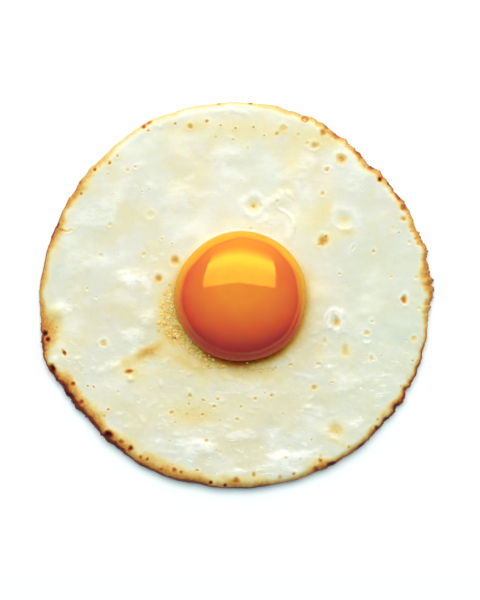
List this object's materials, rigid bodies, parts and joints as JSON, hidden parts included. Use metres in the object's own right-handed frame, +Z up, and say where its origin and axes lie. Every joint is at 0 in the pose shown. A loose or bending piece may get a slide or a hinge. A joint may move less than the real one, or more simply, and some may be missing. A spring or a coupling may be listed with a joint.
{
  "type": "fried egg",
  "caption": "Fried egg, sunny side up: a round cooked white with a browned lacy rim and a whole domed yolk set into it.",
  "frame": {"origin": "on the surface the egg rests on, below the centre of its box", "axes": "+Z up through the yolk's dome, +X and +Y level, across the white"},
  "size_m": [0.1204, 0.118, 0.0173],
  "materials": {
    "egg_white": "moist satin cooked egg white, cream, browned at the rim",
    "yolk": "wet glossy runny yolk, deep orange"
  },
  "bodies": {
    "root": {"egg_white": "egg_white", "yolk": "yolk"}
  },
  "joints": []
}
